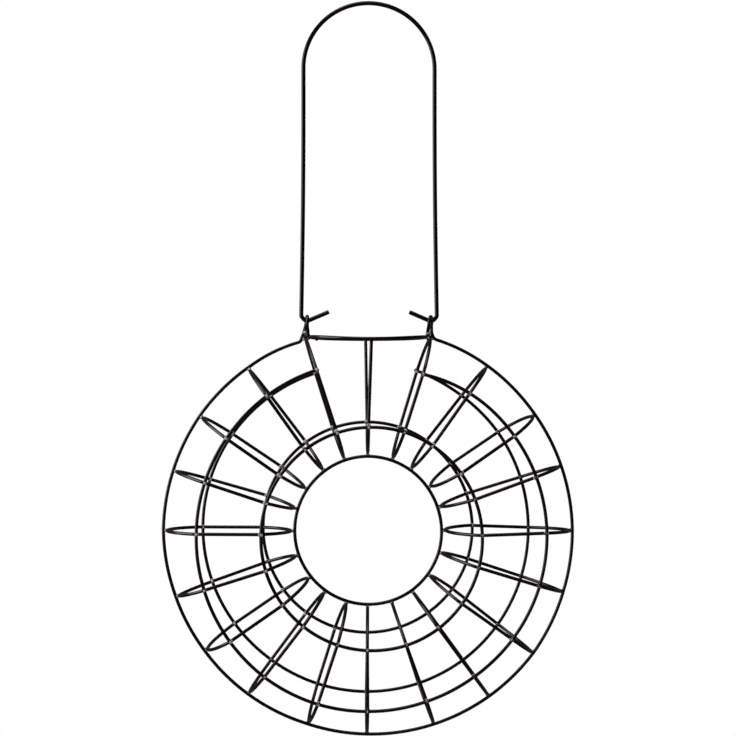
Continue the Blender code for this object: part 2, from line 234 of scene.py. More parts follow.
class HandleSizes(PropertyGroup):
    """Sizes of the long sprung handle and its two hooks."""
    wire_radius: length("Wire radius", "Half the thickness of the handle's wire, coat included", 0.00115)
    arch_radius: length("Arch radius", "Radius of the round top", 0.0352)
    leg_bow: length("Leg bow", "How far the legs bow inwards", 0.0004)
    tail_reach: length("Tail reach", "How far a tail reaches inwards from its hook", 0.0113)
    hook_room: length("Hook room", "Room between a hook's bend and its eye", 0.00015)
    swing_gap: length("Swing gap", "Space between a leg and the eye beside it", 0.00015)
    leg_bend: length("Leg bend", "Radius of the bend from a leg into its hook", 0.0020)
    wire_sides: IntProperty(name="Wire sides", description="Faces round the wire", default=20, min=8)


class BeadSizes(PropertyGroup):
    """Sizes of the weld beads."""
    half_width: length("Half width", "Half a bead's width along the wires", 0.00118)
    half_depth: length("Half depth", "Half a bead's depth through the wires", 0.00088)
    neck_half_height: length("Neck half height", "Half the height of the bead at an eye's neck", 0.0012)
    neck_half_width: length("Neck half width", "Half the width of the bead at an eye's neck", 0.0015)
    neck_half_depth: length("Neck half depth", "Half the depth of the bead at an eye's neck", 0.0012)
    neck_shift: length("Neck shift", "How far the beads at the eyes' necks sit to the left", 0.0006)
    foot_half_length: length("Foot half length", "Half the length of the weld at an eye's foot", 0.0021)
    foot_half_height: length("Foot half height", "Half the height of the weld at an eye's foot", 0.0015)
    foot_half_depth: length("Foot half depth", "Half the depth of the weld at an eye's foot", 0.0012)
    mark_half_length: length("Mark half length", "Half the length of a weld's mark on a wire", 0.0012)
    mark_half_width: length("Mark half width", "Half the width of a weld's mark on a wire", 0.00078)
    mark_rise: length("Mark rise", "How far a weld's mark stands out of the wire", 0.00010)
    spread: share("Spread", "How much longer a bead is along each wire on that wire's side", 0.32)
    unevenness: share("Unevenness", "How much the beads differ in size", 0.14)
    seed: IntProperty(name="Seed", description="Start of the random numbers for the beads", default=7)


class CoatLook(PropertyGroup):
    """Finish of the gloss powder coat."""
    dark: colour("Coat", "Colour of the coat", (0.0011, 0.0009, 0.0008))
    light: colour("Coat, thin", "Colour where the coat is thin", (0.0030, 0.0023, 0.0021))
    # The weld colour is a painted highlight: the pale grey of the patches on the welds
    weld: colour("Weld", "Colour of a weld through its thin coat", (0.44, 0.42, 0.41))
    fleck: colour("Fleck", "Colour of the dust specks baked into the coat", (0.085, 0.072, 0.066))
    fleck_strength: share("Fleck strength", "How strongly the specks show", 0.4)
    steel: colour("Steel", "Colour of the steel where the coat is rubbed off", (0.52, 0.50, 0.48))
    roughness: share("Roughness", "Roughness of the coat", 0.20)
    thin_roughness: share("Thin roughness", "How much rougher the coat is where it is thin", 0.07)
    rub_roughness: share("Rubbed roughness", "How much rougher the coat is where it is rubbed", 0.12)
    specular: share("Specular", "Strength of the coat's reflections", 0.60)
    tint: colour("Reflection tint", "Warm tint of the coat's reflections", (1.0, 0.86, 0.82))
    peel_size: length("Peel size", "Width of one dimple of the orange peel", 0.00085)
    peel_depth: length("Peel depth", "Depth of the orange peel", 0.000004)
    cloud_size: length("Cloud size", "Width of one change of tone", 0.012)
    fleck_size: length("Fleck size", "Spacing of the specks", 0.0016)
    rub_reach: length("Rub reach", "How far the coat is rubbed round each contact", 0.0030)
    eye_rub: share("Rub in the eyes", "How strongly the eyes are rubbed", 0.75)
    handle_rub: share("Rub on the handle", "How strongly the handle is rubbed", 0.5)
    wear_size: length("Wear size", "Width of one gap in the rubbed spots", 0.000384615)
    # The patches on the welds are painted highlights
    highlight_patch_size: length("Patch size", "Width of one thin patch on a weld", 0.0011)


class StudioLook(PropertyGroup):
    """Camera, floor and lamps."""
    azimuth: FloatProperty(name="Azimuth", description="Camera's direction round the feeder", unit="ROTATION",
                           default=radians(-2.6))
    elevation: FloatProperty(name="Elevation", description="Camera's height angle", unit="ROTATION",
                             default=radians(-1.24))
    distance: length("Distance", "From the camera to the point that it looks at", 0.8357)
    target_rise: length("Target rise", "The point looked at, above the ring's centre", 0.0866)
    target_side: place("Target side", "The point looked at, to the right of the ring's centre", 0.00008)
    focal_length: FloatProperty(name="Focal length", description="Lens, in millimetres on a 36 mm sensor",
                                default=76.55)
    floor_drop: length("Floor drop", "How far the floor is below the feeder", 0.060)
    floor_radius: length("Floor radius", "Where the floor starts to fade into the backdrop", 0.13)
    floor_fade: length("Floor fade", "How far the floor takes to fade into the backdrop", 0.15)
    floor_size: length("Floor size", "Half the width of the floor", 12.0)
    floor_albedo: share("Floor", "Brightness of the floor's own colour", 0.80)
    floor_glow: share("Floor glow", "How much the floor glows by itself near the feeder", 0.20)
    floor_roughness: share("Floor roughness", "Roughness of the floor", 0.9)
    room_light: share("Room light", "Brightness of the room round the feeder", 0.60)
    front_light: share("Front light", "Brightness of the room in front, in reflections", 0.015)
    mirror_light: share("Mirror light", "Brightness of the white backdrop and floor, in reflections", 0.06)


# Routes that the wires follow


def seat(cage):
    """From the middle of one welded wire to the middle of the other."""
    return 2 * cage.wire_radius + cage.weld_gap


def round_centre(cage, radius, angle, depth):
    """The point at this radius and angle round the cage's centre."""
    return Vector((cage.centre_x + radius * cos(radians(angle)), depth,
                   cage.centre_z + radius * sin(radians(angle))))


def between(low, high, value):
    """The share of the way from low to high, kept from 0 to 1."""
    return min(max((value - low) / (high - low), 0.0), 1.0)


def spaced(start, end, steps):
    """Evenly spaced values from start to end, with both of them."""
    return [start + (end - start) * step / steps for step in range(steps + 1)]


def bent(route, bend_radius, closed=False):
    """The same route with each sharp corner taken round a bend."""
    eased = []
    for index, corner in enumerate(route):
        before, after = route[index - 1], route[(index + 1) % len(route)]
        turn = (corner - before).angle(after - corner)
        at_end = not closed and index in (0, len(route) - 1)
        if at_end or turn < radians(SHARP_TURN_ANGLE):
            eased.append(corner)
            continue
        room = min((corner - before).length, (after - corner).length) * BEND_ROOM_SHARE
        reach = min(bend_radius * tan(turn / 2), room)
        start = corner + (before - corner).normalized() * reach
        end = corner + (after - corner).normalized() * reach
        for way in spaced(0.0, 1.0, BEND_STEPS):
            eased.append(start.lerp(corner, way).lerp(corner.lerp(end, way), way))
    return eased


def end_bow(tip, side_radius, half_depth, steps):
    """Points (radius, depth) of the bow through the tip and both ends, from front to back."""
    run = tip - side_radius
    bow_radius = (run * run + half_depth * half_depth) / (2 * abs(run))
    outwards = 1 if run > 0 else -1
    bow_centre = tip - outwards * bow_radius
    half_sweep = atan2(half_depth, outwards * (side_radius - bow_centre))
    return [(bow_centre + outwards * bow_radius * cos(turn), bow_radius * sin(turn))
            for turn in spaced(-half_sweep, half_sweep, steps)]


def wander(ring, angle):
    """How far outwards a ring has wandered at this angle, running straight from hoop to hoop."""
    wanders = RING_WANDERS[ring]
    way = (TOP_ANGLE - HOOP_PITCH - angle) % 360 / HOOP_PITCH
    index = int(way)
    start, end = wanders[index], wanders[(index + 1) % len(wanders)]
    return (start + (end - start) * (way - index)) * TENTH_MM


def leaned(cage, radius, depth, station, set_inner, set_outer, lean_inner, lean_outer):
    """The point of a hoop whose front and back strands lean apart round the centre."""
    inner_tip, outer_tip = cage.inner_radius + seat(cage), cage.outer_radius - seat(cage)
    set_share = between(inner_tip, outer_tip, radius)
    lean_share = between(cage.inner_side_radius, cage.outer_side_radius, radius)
    angle = station + set_inner + (set_outer - set_inner) * set_share
    lean = lean_inner + (lean_outer - lean_inner) * lean_share
    across = Vector((-sin(radians(angle)), 0, cos(radians(angle))))
    return round_centre(cage, radius, angle, depth) - depth * tan(radians(lean)) * across


def inner_bow(cage, angle):
    """The bowed end that a hoop has next to the centre hole at this angle."""
    tip = cage.inner_radius + seat(cage) + wander("inner_ring", angle)
    return end_bow(tip, cage.inner_side_radius, cage.inner_half_depth, INNER_BOW_STEPS)


def hoop_route(cage, number):
    """A closed hoop round the tube; number 1 is at the mouth's right side."""
    sets_and_leans = HOOP_SETS_AND_LEANS[number - 1]
    station = TOP_ANGLE - number * HOOP_PITCH
    set_inner, set_outer = sets_and_leans[:2]
    tip = cage.outer_radius - seat(cage) + wander("outer_ring", station + set_outer)
    section = end_bow(tip, cage.outer_side_radius, cage.outer_half_depth, OUTER_BOW_STEPS)
    section += reversed(inner_bow(cage, station + set_inner))
    points = [leaned(cage, radius, depth, station, *sets_and_leans) for radius, depth in section]
    return bent(points, cage.hoop_bend, True)


def mouth_tip(cage):
    """How far to the side and how far up the tips of the two hoops beside the mouth are."""
    tip = cage.outer_radius - seat(cage)
    return tip * sin(radians(HOOP_PITCH)), tip * cos(radians(HOOP_PITCH))


def mouth_ring_size(cage):
    """The mouth ring's radius and its rise above the cage's centre."""
    tip_side, tip_rise = mouth_tip(cage)
    reach = seat(cage) + cage.mouth_slack
    return (tip_side - reach * cos(radians(MOUTH_SEAT_ANGLE)),
            tip_rise + reach * sin(radians(MOUTH_SEAT_ANGLE)))


def mouth_hoop_route(cage):
    """The hoop under the mouth: open at the top, with its two tips inside the mouth ring."""
    ring_radius, ring_rise = mouth_ring_size(cage)
    tip_depth = ring_radius - seat(cage)
    section = [(ring_rise - cage.mouth_sag, -tip_depth), *inner_bow(cage, TOP_ANGLE), (ring_rise, tip_depth)]
    points = [leaned(cage, radius, depth, TOP_ANGLE, *MOUTH_HOOP_SET_AND_LEANS)
              for radius, depth in section]
    return bent(points, cage.hoop_bend)


def mouth_ring_route(cage):
    """The round rim of the mouth, whose two ends lie side by side at the left."""
    ring_radius, ring_rise = mouth_ring_size(cage)
    points = []
    for angle in (spaced(MOUTH_LAP_TIP_ANGLE, MOUTH_LAP_START_ANGLE, MOUTH_LAP_STEPS)[:-1]
                  + spaced(MOUTH_LAP_START_ANGLE, MOUTH_RING_END_ANGLE, MOUTH_RING_STEPS)):
        lap_share = between(MOUTH_LAP_START_ANGLE, MOUTH_LAP_END_ANGLE, angle)
        tip_share = between(MOUTH_LAP_BEND_ANGLE, MOUTH_LAP_TIP_ANGLE, angle)
        front_share = max(0.0, -sin(radians(angle))) ** 2
        radius = ring_radius - seat(cage) * lap_share * lap_share * (3 - 2 * lap_share)
        rise = ring_rise - cage.lap_tip_drop * tip_share - cage.mouth_sag * front_share
        points.append(Vector((cage.centre_x + radius * cos(radians(angle)), radius * sin(radians(angle)),
                              cage.centre_z + rise)))
    return points


def end_droop(angle, start, end, right_droop, left_droop, sweep):
    """How far the arc that runs clockwise from start to end droops inwards at this angle."""
    right_share = 1 - between(0.0, sweep, start - angle)
    left_share = 1 - between(0.0, sweep, angle - end)
    return right_droop * right_share ** 2 + left_droop * left_share ** 2


def side_ring_route(cage, name):
    """One of the four rings on the sides: the outer two are open at the mouth."""
    if name in OUTER_SIDE_RINGS:
        side, radius, half_depth = OUTER_SIDE_RINGS[name], cage.outer_side_radius, cage.outer_half_depth
        end_gap = HOOP_PITCH - SIDE_RING_OVERRUN_ANGLE
        angles = spaced(TOP_ANGLE - end_gap, TOP_ANGLE - 360 + end_gap, OUTER_SIDE_STEPS)
    else:
        side, radius, half_depth = INNER_SIDE_RINGS[name], cage.inner_side_radius, cage.inner_half_depth
        angles = spaced(TOP_ANGLE, TOP_ANGLE - 360, INNER_SIDE_STEPS)[:-1]
    points = []
    for angle in angles:
        droop = end_droop(angle, angles[0], angles[-1], END_DROOPS.get(name, 0.0), 0.0, SIDE_RING_DROOP_SWEEP)
        points.append(round_centre(cage, radius + wander(name, angle) - droop, angle,
                                   side * (half_depth + seat(cage))))
    return points


def inner_ring_route(cage):
    """The closed ring round the centre hole."""
    return [round_centre(cage, cage.inner_radius + wander("inner_ring", angle), angle, 0.0)
            for angle in spaced(TOP_ANGLE, TOP_ANGLE - 360, INNER_RING_STEPS)[:-1]]


def neck_step(cage):
    """From the middle of an eye's neck to the middle of each of its two strands."""
    return cage.wire_radius + cage.loop_gap / 2


def eye_size(cage, handle):
    """An eye's radius, its apex's height above the hinge, and its strands' side step at the loop."""
    radius = cage.wire_radius + handle.wire_radius + cage.eye_room
    apex = handle.wire_radius + cage.wire_radius + cage.weld_gap
    return radius, apex, neck_step(cage) * EYE_LOOP_SHARE


def eye_route(cage, handle, side):
    """One end of the outer ring, from its foot beside the hoop to its cut end on the mouth ring."""
    tip_side, tip_rise = mouth_tip(cage)
    eye_radius, apex, loop_step = eye_size(cage, handle)
    neck_drop, strand = 2 * eye_radius, neck_step(cage)
    loop_centre = apex - eye_radius
    tangent_angle = asin(eye_radius / (loop_centre + neck_drop))
    foot = Vector((cage.centre_x + side * (tip_side + seat(cage) + cage.eye_foot_gap), 0.0,
                   cage.centre_z + tip_rise + cage.wire_radius))
    cut_rise = cage.centre_z + mouth_ring_size(cage)[1] + cage.wire_radius + cage.loop_gap - HINGE_Z
    local = [(strand, 0.0, -neck_drop)]
    for turn in spaced(-tangent_angle, pi + tangent_angle, EYE_STEPS):
        local.append((loop_step * cos(min(max(turn, 0.0), pi)), eye_radius * cos(turn),
                      loop_centre + eye_radius * sin(turn)))
    local += [(-strand, 0.0, -neck_drop), (-strand, 0.0, cut_rise)]
    turned = radians(EYE_TURN_ANGLE)
    return [foot] + [Vector((side * (tip_side + x) + y * sin(turned)
                             + cage.centre_x * between(apex, -neck_drop, z), y * cos(turned), HINGE_Z + z))
                     for x, y, z in local]


def outer_ring_route(cage, handle):
    """The ring round the outside, whose two ends are bent up into the eyes."""
    tip_side, tip_rise = mouth_tip(cage)
    start = degrees(atan2(tip_rise, tip_side + seat(cage) + cage.eye_foot_gap)) - EYE_FOOT_BEND_SWEEP
    end = -180 - start
    points = list(reversed(eye_route(cage, handle, 1)))
    for angle in spaced(start, end, OUTER_RING_STEPS):
        droop = end_droop(angle, start, end, cage.right_droop, cage.left_droop, OUTER_RING_DROOP_SWEEP)
        points.append(round_centre(cage, cage.outer_radius + wander("outer_ring", angle) - droop, angle, 0.0))
    return bent(points + eye_route(cage, handle, -1), cage.eye_bend)


def cage_routes(cage, handle):
    """Each cage wire's route by its CAD node, and whether it closes on itself."""
    routes = {name: (hoop_route(cage, number), True) for number, name in enumerate(HOOP_NAMES, 1)}
    routes.update({name: (side_ring_route(cage, name), False) for name in OUTER_SIDE_RINGS})
    routes.update({name: (side_ring_route(cage, name), True) for name in INNER_SIDE_RINGS})
    routes["inner_ring"] = inner_ring_route(cage), True
    routes["outer_ring"] = outer_ring_route(cage, handle), False
    routes["mouth_hoop"] = mouth_hoop_route(cage), False
    routes["mouth_ring"] = mouth_ring_route(cage), False
    return routes


def handle_side_route(cage, handle, side):
    """One leg with its hook and tail, from the arch down."""
    tip_side = mouth_tip(cage)[0]
    eye_radius, apex, loop_step = eye_size(cage, handle)
    hook_radius = apex + handle.hook_room
    leg_step = (loop_step + eye_radius * sin(radians(EYE_TURN_ANGLE)) + cage.wire_radius
                + handle.wire_radius + handle.swing_gap)
    bend_x = hook_radius * sin(radians(HOOK_BEND_ANGLE))
    bend_z = hook_radius * (1 - cos(radians(HOOK_BEND_ANGLE)))
    corner_x = tip_side + leg_step
    corner_z = HINGE_Z + bend_z + (leg_step - bend_x) * tan(radians(HOOK_BEND_ANGLE))
    top_z = handle.wire_radius - handle.arch_radius
    points = []
    for way in spaced(0.0, 1.0, LEG_STEPS)[1:]:
        leg_x = handle.arch_radius + (corner_x - handle.arch_radius) * way - handle.leg_bow * sin(pi * way)
        points.append((leg_x, top_z + (corner_z - top_z) * way))
    for turn in spaced(radians(HOOK_BEND_ANGLE), -radians(TAIL_ANGLE), HOOK_STEPS):
        points.append((tip_side + hook_radius * sin(turn), HINGE_Z + hook_radius * (1 - cos(turn))))
    tail_start, tail_z = points[-1]
    tail_end = tip_side - handle.tail_reach
    points.append((tail_end, tail_z + (tail_start - tail_end) * tan(radians(TAIL_ANGLE))))
    return [Vector((side * x, 0.0, z)) for x, z in points]


def handle_route(cage, handle):
    """The long inverted U with a hook at each foot, in one wire."""
    arch_centre_z = handle.wire_radius - handle.arch_radius
    arch = [Vector((handle.arch_radius * cos(turn), 0.0, arch_centre_z + handle.arch_radius * sin(turn)))
            for turn in spaced(0.0, pi, ARCH_STEPS)]
    points = list(reversed(handle_side_route(cage, handle, 1))) + arch
    return bent(points + handle_side_route(cage, handle, -1), handle.leg_bend)


# Wires and weld beads


def extruded(wire, edges):
    """The points and edges that come from extruding these edges in place."""
    step = bmesh.ops.extrude_edge_only(wire, edges=edges)["geom"]
    return ([part for part in step if isinstance(part, bmesh.types.BMVert)],
            [part for part in step if isinstance(part, bmesh.types.BMEdge)])


def cut_end(wire, edges, centre, outwards, radius):
    """Close a wire's end as a flat cut whose edge is softened by the coat."""
    width = 1.0
    for end_share, advance_share in CUT_END_SHARES:
        verts, edges = extruded(wire, edges)
        ratio = end_share / width
        bmesh.ops.scale(wire, verts=verts, vec=(ratio, ratio, ratio), space=Matrix.Translation(-centre))
        bmesh.ops.translate(wire, verts=verts, vec=outwards * radius * advance_share)
        centre = centre + outwards * radius * advance_share
        width = end_share
    bmesh.ops.contextual_create(wire, geom=edges)


def draw_wire(route, radius, sides, closed=False):
    """A round wire along the route: a circle extruded from each point to the next."""
    behind = (route[-1:] if closed else route[:1]) + route[:-1]
    ahead = route[1:] + (route[:1] if closed else route[-1:])
    headings = [(after - before).normalized() for before, after in zip(behind, ahead)]
    wire = bmesh.new()
    facing = Vector((0, 0, 1)).rotation_difference(headings[0]).to_matrix().to_4x4()
    bmesh.ops.create_circle(wire, cap_ends=False, segments=sides, radius=radius,
                            matrix=Matrix.Translation(route[0]) @ facing)
    first_edges = edges = list(wire.edges)
    for index in range(1, len(route)):
        verts, edges = extruded(wire, edges)
        turn = headings[index - 1].rotation_difference(headings[index]).to_matrix()
        bmesh.ops.rotate(wire, verts=verts, cent=route[index - 1], matrix=turn)
        bmesh.ops.translate(wire, verts=verts, vec=route[index] - route[index - 1])
    if closed:
        bmesh.ops.bridge_loops(wire, edges=edges + first_edges)
    else:
        cut_end(wire, first_edges, route[0], -headings[0], radius)
        cut_end(wire, edges, route[-1], headings[-1], radius)
    bmesh.ops.recalc_face_normals(wire, faces=wire.faces)
    return wire


def placed(shape, name, material):
    """A new object in the scene, from a mesh that is ready and its material."""
    mesh = bpy.data.meshes.new(name)
    shape.to_mesh(mesh)
    shape.free()
    mesh.materials.append(material)
    item = bpy.data.objects.new(name, mesh)
    bpy.context.scene.collection.objects.link(item)
    return item


def finished(wire, name, coat, body, node=None):
    """Make the piece from its mesh, give it its coat, and let it ride on its body."""
    piece = placed(wire, name, coat)
    piece.data.shade_smooth()
    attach(piece, body)
    if node:
        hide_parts(node)


def add_cage_wires(context, nodes):
    """Wires of the cage, each in place of its CAD node."""
    cage = context.scene.feeder_cage
    routes = cage_routes(cage, context.scene.feeder_handle)
    for node in nodes:
        route, closed = routes[node]
        wire = draw_wire(route, cage.wire_radius, cage.wire_sides, closed)
        finished(wire, node + "_wire", cage_coat(context), "cage", node)


def finely(route, closed):
    """The route with its points close together."""
    points = []
    for start, end in zip(route, route[1:] + (route[:1] if closed else [])):
        count = max(1, round((end - start).length / FINE_STEP))
        points += [start.lerp(end, index / count) for index in range(count)]
    return points if closed else points + [route[-1]]


def beside(route, index):
    """The points before and after this one, as far as an open route has them."""
    return route[max(index - 1, 0)], route[min(index + 1, len(route) - 1)]


def crossing(first, second):
    """Where two finely divided routes pass nearest: a point on each, and each one's direction."""
    tree = KDTree(len(second))
    for index, point in enumerate(second):
        tree.insert(point, index)
    tree.balance()
    here = min(range(len(first)), key=lambda index: tree.find(first[index])[2])
    there = tree.find(first[here])[1]
    first_ends, second_ends = beside(first, here), beside(second, there)
    along = (first_ends[1] - first_ends[0]).normalized()
    if abs(along.dot((second_ends[1] - second_ends[0]).normalized())) > SIDE_BY_SIDE_SHARE:
        return first[here], second[there], along
    return *intersect_line_line(*first_ends, *second_ends), along


def set_down(beads, ball, middle, along, up):
    """Turn a ball so that its length lies along a wire and its top looks up, and move it there."""
    across = up.cross(along).normalized()
    turn = Matrix((across.cross(up), across, up)).transposed().to_4x4()
    bmesh.ops.transform(beads, verts=ball, matrix=Matrix.Translation(middle) @ turn)


def add_ball(beads, mesh):
    """The points of a new ball of radius 1, with so many segments and rings."""
    return bmesh.ops.create_uvsphere(beads, u_segments=mesh[0], v_segments=mesh[1], radius=1.0)["verts"]


def add_bead(beads, middle, along, towards, half_sizes, spread=0.0):
    """One weld bead, with its half length, width and depth, longer along each wire on its own side."""
    ball = add_ball(beads, BEAD_MESH)
    for vert in ball:
        height = vert.co.z
        vert.co.x *= 1 + spread * height
        vert.co.y *= 1 - spread * height
    bmesh.ops.scale(beads, verts=ball, vec=half_sizes)
    set_down(beads, ball, middle, along, towards.normalized())


def add_crossing_bead(beads, sizes, chance, first, second, size_share=1.0):
    """A bead where two wires cross."""
    first_point, second_point, along = crossing(first, second)
    uneven = size_share * (1 + chance.uniform(-sizes.unevenness, sizes.unevenness))
    half_width = sizes.half_width * uneven
    add_bead(beads, (first_point + second_point) / 2, along, first_point - second_point,
             (half_width, half_width, sizes.half_depth * uneven), sizes.spread)


def add_marks(beads, sizes, chance, radius, first, second):
    """The flattened marks that welding leaves on the outer faces of two wires that cross."""
    first_point, second_point, along = crossing(first, second)
    outwards = (first_point - second_point).normalized()
    second_along = crossing(second, first)[2]
    sink = sizes.mark_half_width / 2
    for point, direction, away in ((first_point, along, outwards), (second_point, second_along, -outwards)):
        uneven = 1 + chance.uniform(-sizes.unevenness, sizes.unevenness)
        ball = add_ball(beads, MARK_MESH)
        bmesh.ops.scale(beads, verts=ball, vec=(sizes.mark_half_length * uneven,
                                                sizes.mark_half_width * uneven, sizes.mark_rise + sink))
        set_down(beads, ball, point + away * (radius - sink), direction, away)


def add_mouth_beads(context, chance, wires):
    """The beads that hold the mouth ring, and that close the necks and feet of the two eyes."""
    cage, sizes = context.scene.feeder_cage, context.scene.feeder_beads
    beads, feet = bmesh.new(), bmesh.new()
    for tip in (wires["mouth_hoop"][:TIP_POINTS], wires["mouth_hoop"][-TIP_POINTS:]):
        add_crossing_bead(beads, sizes, chance, tip, wires["mouth_ring"], TIP_BEAD_SHARE)
    for name in (HOOP_NAMES[0], HOOP_NAMES[-1]):
        add_crossing_bead(beads, sizes, chance, wires[name], wires["mouth_ring"])
    tip_side, tip_rise = mouth_tip(cage)
    ring_top = cage.centre_z + mouth_ring_size(cage)[1] + cage.wire_radius
    foot_top = cage.centre_z + tip_rise + cage.wire_radius
    upright, sideways = Vector((0, 0, 1)), Vector((1, 0, 0))
    for side in (-1, 1):
        neck = cage.centre_x + side * tip_side
        middle = Vector((neck - sizes.neck_shift, 0.0, ring_top + sizes.neck_half_height))
        add_bead(beads, middle, upright, sideways * side,
                 (sizes.neck_half_height, sizes.neck_half_depth, sizes.neck_half_width))
        add_bead(feet, Vector((neck, 0.0, foot_top)), sideways, upright,
                 (sizes.foot_half_length, sizes.foot_half_depth, sizes.foot_half_height))
        add_bead(feet, Vector((neck - side * neck_step(cage), 0.0, ring_top)), sideways, upright,
                 (sizes.half_width, sizes.half_width, sizes.foot_half_height))
    finished(beads, "mouth_welds", bead_coat_and_highlights(context), "cage")
    finished(feet, "eye_foot_welds", cage_coat(context), "cage")


# Finish of the coat


def fill(tree, socket, value):
    """Link a socket to another one, or set it to a plain value."""
    if isinstance(value, bpy.types.NodeSocket):
        tree.links.new(value, socket)
    else:
        socket.default_value = value


def computed(tree, operation, *values):
    """A number worked out from sockets or plain numbers."""
    node = tree.nodes.new("ShaderNodeMath")
    node.operation = operation
    for socket, value in zip(node.inputs, values):
        fill(tree, socket, value)
    return node.outputs[0]


def noise(tree, where, size, detail):
    """Noise on object coordinates, with bumps of the size that a socket gives."""
    node = tree.nodes.new("ShaderNodeTexNoise")
    fill(tree, node.inputs["Vector"], where)
    fill(tree, node.inputs["Scale"], computed(tree, "DIVIDE", 1.0, size))
    node.inputs["Detail"].default_value = detail
    return node.outputs["Fac"]


def smooth_step(tree, value, low, high):
    """A mask that rises smoothly from 0 at low to 1 at high."""
    node = tree.nodes.new("ShaderNodeMapRange")
    node.interpolation_type = "SMOOTHSTEP"
    for label, given in (("Value", value), ("From Min", low), ("From Max", high)):
        fill(tree, node.inputs[label], given)
    return node.outputs["Result"]


def mixed(tree, factor, first, second):
    """One colour over another by a mask; a colour is a socket or three numbers."""
    node = tree.nodes.new("ShaderNodeMix")
    node.data_type = "RGBA"
    fill(tree, node.inputs["Factor"], factor)
    for index, value in ((MIX_FIRST, first), (MIX_SECOND, second)):
        is_socket = isinstance(value, bpy.types.NodeSocket)
        fill(tree, node.inputs[index], value if is_socket else (*value, 1.0))
    return node.outputs[MIX_RESULT]


def coordinates(tree):
    """Object coordinates, whole and split into X, Y and Z."""
    where = tree.nodes.new("ShaderNodeTexCoord").outputs["Object"]
    split = tree.nodes.new("ShaderNodeSeparateXYZ")
    fill(tree, split.inputs[0], where)
    return where, split.outputs


def new_material(name):
    """A material, its node tree and the inputs of its shader."""
    material = bpy.data.materials.new(name)
    material.use_nodes = True
    return material, material.node_tree, material.node_tree.nodes["Principled BSDF"].inputs


def new_group(name, inputs, outputs):
    """An empty shader group with number sockets, the sockets that it is given and that it fills."""
    group = bpy.data.node_groups.new(name, "ShaderNodeTree")
    for label, value in inputs.items():
        socket = group.interface.new_socket(label, in_out="INPUT", socket_type="NodeSocketFloat")
        socket.default_value = value
    for label in outputs:
        group.interface.new_socket(label, in_out="OUTPUT", socket_type="NodeSocketFloat")
    return group, group.nodes.new("NodeGroupInput").outputs, group.nodes.new("NodeGroupOutput").inputs


def powder_grain(name):
    """Group: the orange peel's height, slow changes of tone, and baked-in specks."""
    group, given, result = new_group(
        name, {"Peel Size": 0.001, "Cloud Size": 0.012, "Fleck Size": 0.0016}, ("Height", "Cloud", "Fleck"))
    where = coordinates(group)[0]
    broad = noise(group, where, given["Peel Size"], detail=1.0)
    fine = noise(group, where, computed(group, "DIVIDE", given["Peel Size"], FINE_PEEL_RATIO), detail=2.0)
    fill(group, result["Height"], computed(group, "MULTIPLY_ADD", fine, FINE_PEEL_SHARE, broad))
    clouds = noise(group, where, given["Cloud Size"], detail=3.0)
    fill(group, result["Cloud"], smooth_step(group, clouds, *CLOUD_LIMITS))
    specks = noise(group, where, given["Fleck Size"], detail=1.0)
    fill(group, result["Fleck"], smooth_step(group, specks, *FLECK_LIMITS))
    return group


def rubbed_spot(name):
    """Group: a mask round a contact point on both sides, broken up as wear is."""
    group, given, result = new_group(
        name, {"Side": 0.0, "Height": 0.0, "Reach": 0.003, "Wear Size": 0.0004}, ("Mask",))
    where, split = coordinates(group)
    aside = computed(group, "SUBTRACT", computed(group, "ABSOLUTE", split["X"]), given["Side"])
    above = computed(group, "SUBTRACT", split["Z"], given["Height"])
    squares = computed(group, "MULTIPLY", aside, aside)
    for value in (above, split["Y"]):
        squares = computed(group, "MULTIPLY_ADD", value, value, squares)
    away = computed(group, "SQRT", squares)
    near = computed(group, "SUBTRACT", 1.0, smooth_step(group, away, 0.0, given["Reach"]))
    wear = noise(group, where, given["Wear Size"], detail=3.0)
    patchy = computed(group, "MULTIPLY_ADD", wear, WEAR_SHARE, near)
    fill(group, result["Mask"], smooth_step(group, patchy, *WEAR_LIMITS))
    return group


def weld_highlight_patches(name):
    """Group: patches of painted highlight on the welds, more of them at the upper left where the light falls.
    """
    group, given, result = new_group(name, {"Patch Size": 0.001, "Lower": 0.0, "Upper": 1.0}, ("Mask",))
    where, split = coordinates(group)
    slope = computed(group, "SUBTRACT", split["Z"], split["X"])
    lit_upper_left = smooth_step(group, slope, given["Lower"], given["Upper"])
    patches = noise(group, where, given["Patch Size"], detail=2.0)
    raised = computed(group, "MULTIPLY_ADD", lit_upper_left, UPPER_LEFT_HIGHLIGHT_SHARE, patches)
    fill(group, result["Mask"], smooth_step(group, raised, *HIGHLIGHT_PATCH_LIMITS))
    return group


def shared(tree, name, make, settings):
    """The outputs of the group of this name, which make builds the first time, with these settings."""
    node = tree.nodes.new("ShaderNodeGroup")
    node.node_tree = bpy.data.node_groups.get(name) or make(name)
    for label, value in settings.items():
        node.inputs[label].default_value = value
    return node.outputs


